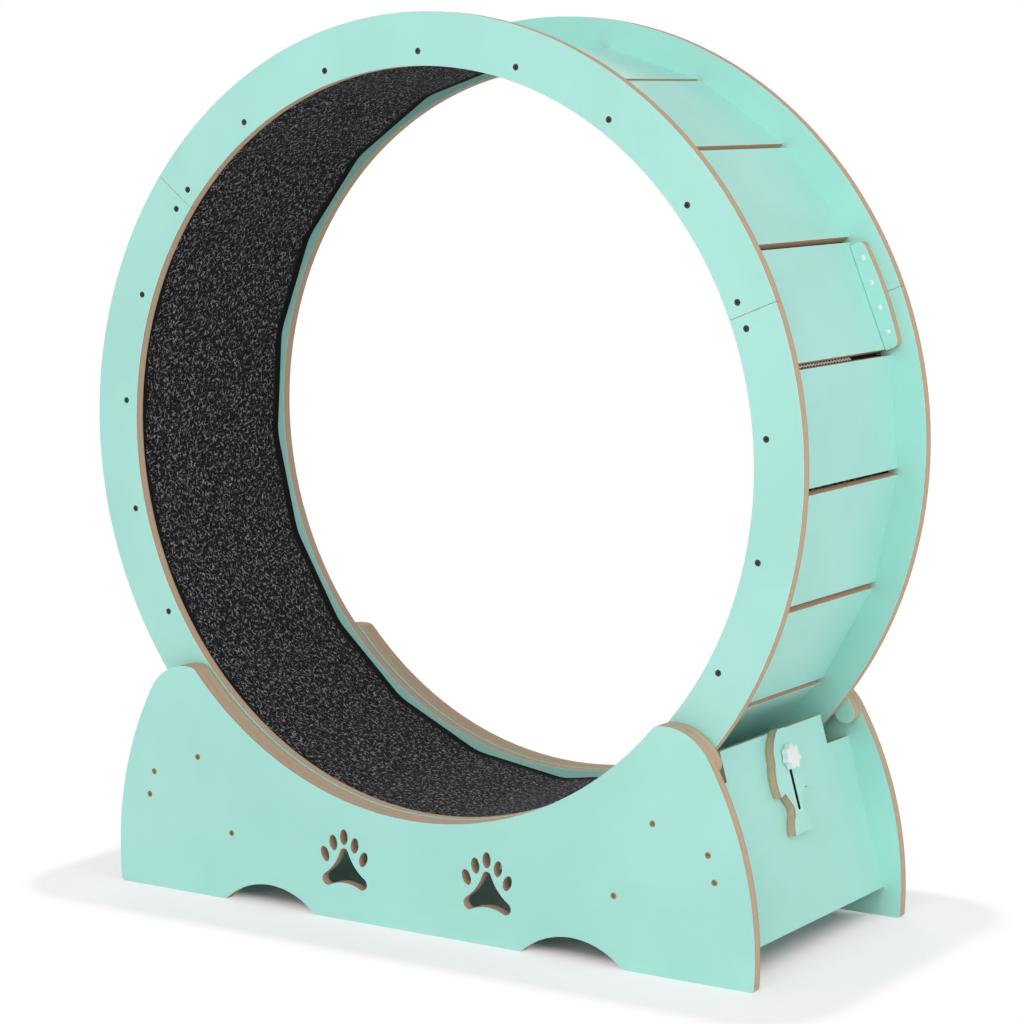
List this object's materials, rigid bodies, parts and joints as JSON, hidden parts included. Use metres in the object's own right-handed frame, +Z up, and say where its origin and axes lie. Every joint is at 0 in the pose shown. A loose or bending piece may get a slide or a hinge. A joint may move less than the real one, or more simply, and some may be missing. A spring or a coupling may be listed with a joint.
{
  "type": "cat exercise wheel",
  "caption": "Cat running wheel of mint-faced board with a charcoal mat, turning on grooved rollers between side panels with paw cut-outs, and a sliding fish-shaped wheel lock.",
  "frame": {"origin": "on the floor, under the middle of the wheel", "axes": "+Z up; the wheel's axle runs along +Y, from the front side panel to the rear one; +X towards the end panel that carries the wheel lock"},
  "size_m": [1.06, 0.39, 1.1374],
  "materials": {
    "mint_board": "mint laminate faces, raw edges",
    "mat": "charcoal heather needle felt",
    "dark_screw": "black oxide",
    "white_screw": "white, satin",
    "brass_screw": "yellow zinc, satin",
    "roller": "satin nylon",
    "zinc": "bright zinc",
    "bearing_steel": "ground steel, dark shields",
    "white_knob": "white, glossy"
  },
  "bodies": {
    "base": {"front_side_panel": "mint_board", "rear_side_panel": "mint_board", "front_edge_doubler": "mint_board", "rear_edge_doubler": "mint_board", "left_end_panel": "mint_board", "right_end_panel": "mint_board", "left_roller_board": "mint_board", "right_roller_board": "mint_board", "base_screws": "brass_screw", "front_left_roller_fork": "zinc", "front_right_roller_fork": "zinc", "rear_left_roller_fork": "zinc", "rear_right_roller_fork": "zinc", "roller_bearings": "bearing_steel", "axle_spacers": "zinc", "axle_bolts": "zinc", "axle_nuts": "zinc", "fork_screws": "zinc", "lock_tee_nut": "zinc"},
    "wheel": {"front_ring_segment_1": "mint_board", "front_ring_segment_2": "mint_board", "front_ring_segment_3": "mint_board", "rear_ring_segment_1": "mint_board", "rear_ring_segment_2": "mint_board", "rear_ring_segment_3": "mint_board", "front_splice_plates": "mint_board", "rear_splice_plates": "mint_board", "tread_plank_01": "mint_board", "tread_plank_02": "mint_board", "tread_plank_03": "mint_board", "tread_plank_04": "mint_board", "tread_plank_05": "mint_board", "tread_plank_06": "mint_board", "tread_plank_07": "mint_board", "tread_plank_08": "mint_board", "tread_plank_09": "mint_board", "tread_plank_10": "mint_board", "tread_plank_11": "mint_board", "tread_plank_12": "mint_board", "tread_plank_13": "mint_board", "tread_plank_14": "mint_board", "tread_plank_15": "mint_board", "tread_plank_16": "mint_board", "tread_plank_17": "mint_board", "tread_plank_18": "mint_board", "tread_plank_19": "mint_board", "tread_plank_20": "mint_board", "tread_plank_21": "mint_board", "running_mat": "mat", "ring_screws": "dark_screw", "splice_screws": "white_screw"},
    "lock_plate": {"lock_plate": "mint_board"},
    "lock_knob": {"lock_knob": "white_knob", "lock_stud": "zinc", "lock_washer": "zinc"},
    "front_left_roller": {"front_left_roller": "roller"},
    "front_right_roller": {"front_right_roller": "roller"},
    "rear_left_roller": {"rear_left_roller": "roller"},
    "rear_right_roller": {"rear_right_roller": "roller"}
  },
  "joints": [
    {"name": "wheel_spin", "type": "hinge", "parent": "base", "child": "wheel", "pos_m": [0, 0, 0.6075], "axis": [0, 1, 0], "continuous": true},
    {"name": "front_left_roller_spin", "type": "hinge", "parent": "base", "child": "front_left_roller", "pos_m": [-0.24703, -0.1565, 0.11017], "axis": [0, 1, 0], "continuous": true},
    {"name": "front_right_roller_spin", "type": "hinge", "parent": "base", "child": "front_right_roller", "pos_m": [0.24703, -0.1565, 0.11017], "axis": [0, 1, 0], "continuous": true},
    {"name": "rear_left_roller_spin", "type": "hinge", "parent": "base", "child": "rear_left_roller", "pos_m": [-0.24703, 0.1565, 0.11017], "axis": [0, 1, 0], "continuous": true},
    {"name": "rear_right_roller_spin", "type": "hinge", "parent": "base", "child": "rear_right_roller", "pos_m": [0.24703, 0.1565, 0.11017], "axis": [0, 1, 0], "continuous": true},
    {"name": "lock_slide", "type": "slide", "parent": "base", "child": "lock_plate", "axis": [-0.2645, 0, 0.9644], "range_m": [0, 0.0368]},
    {"name": "lock_knob_turn", "type": "hinge", "parent": "base", "child": "lock_knob", "pos_m": [0.40789, 0.0025, 0.23189], "axis": [0.9644, 0, 0.2645], "range_deg": [0, 360]}
  ],
  "couplings": [
    {"joint": "front_left_roller_spin", "follows": "wheel_spin", "ratio": -21.2},
    {"joint": "front_right_roller_spin", "follows": "wheel_spin", "ratio": -21.2},
    {"joint": "rear_left_roller_spin", "follows": "wheel_spin", "ratio": -21.2},
    {"joint": "rear_right_roller_spin", "follows": "wheel_spin", "ratio": -21.2}
  ]
}
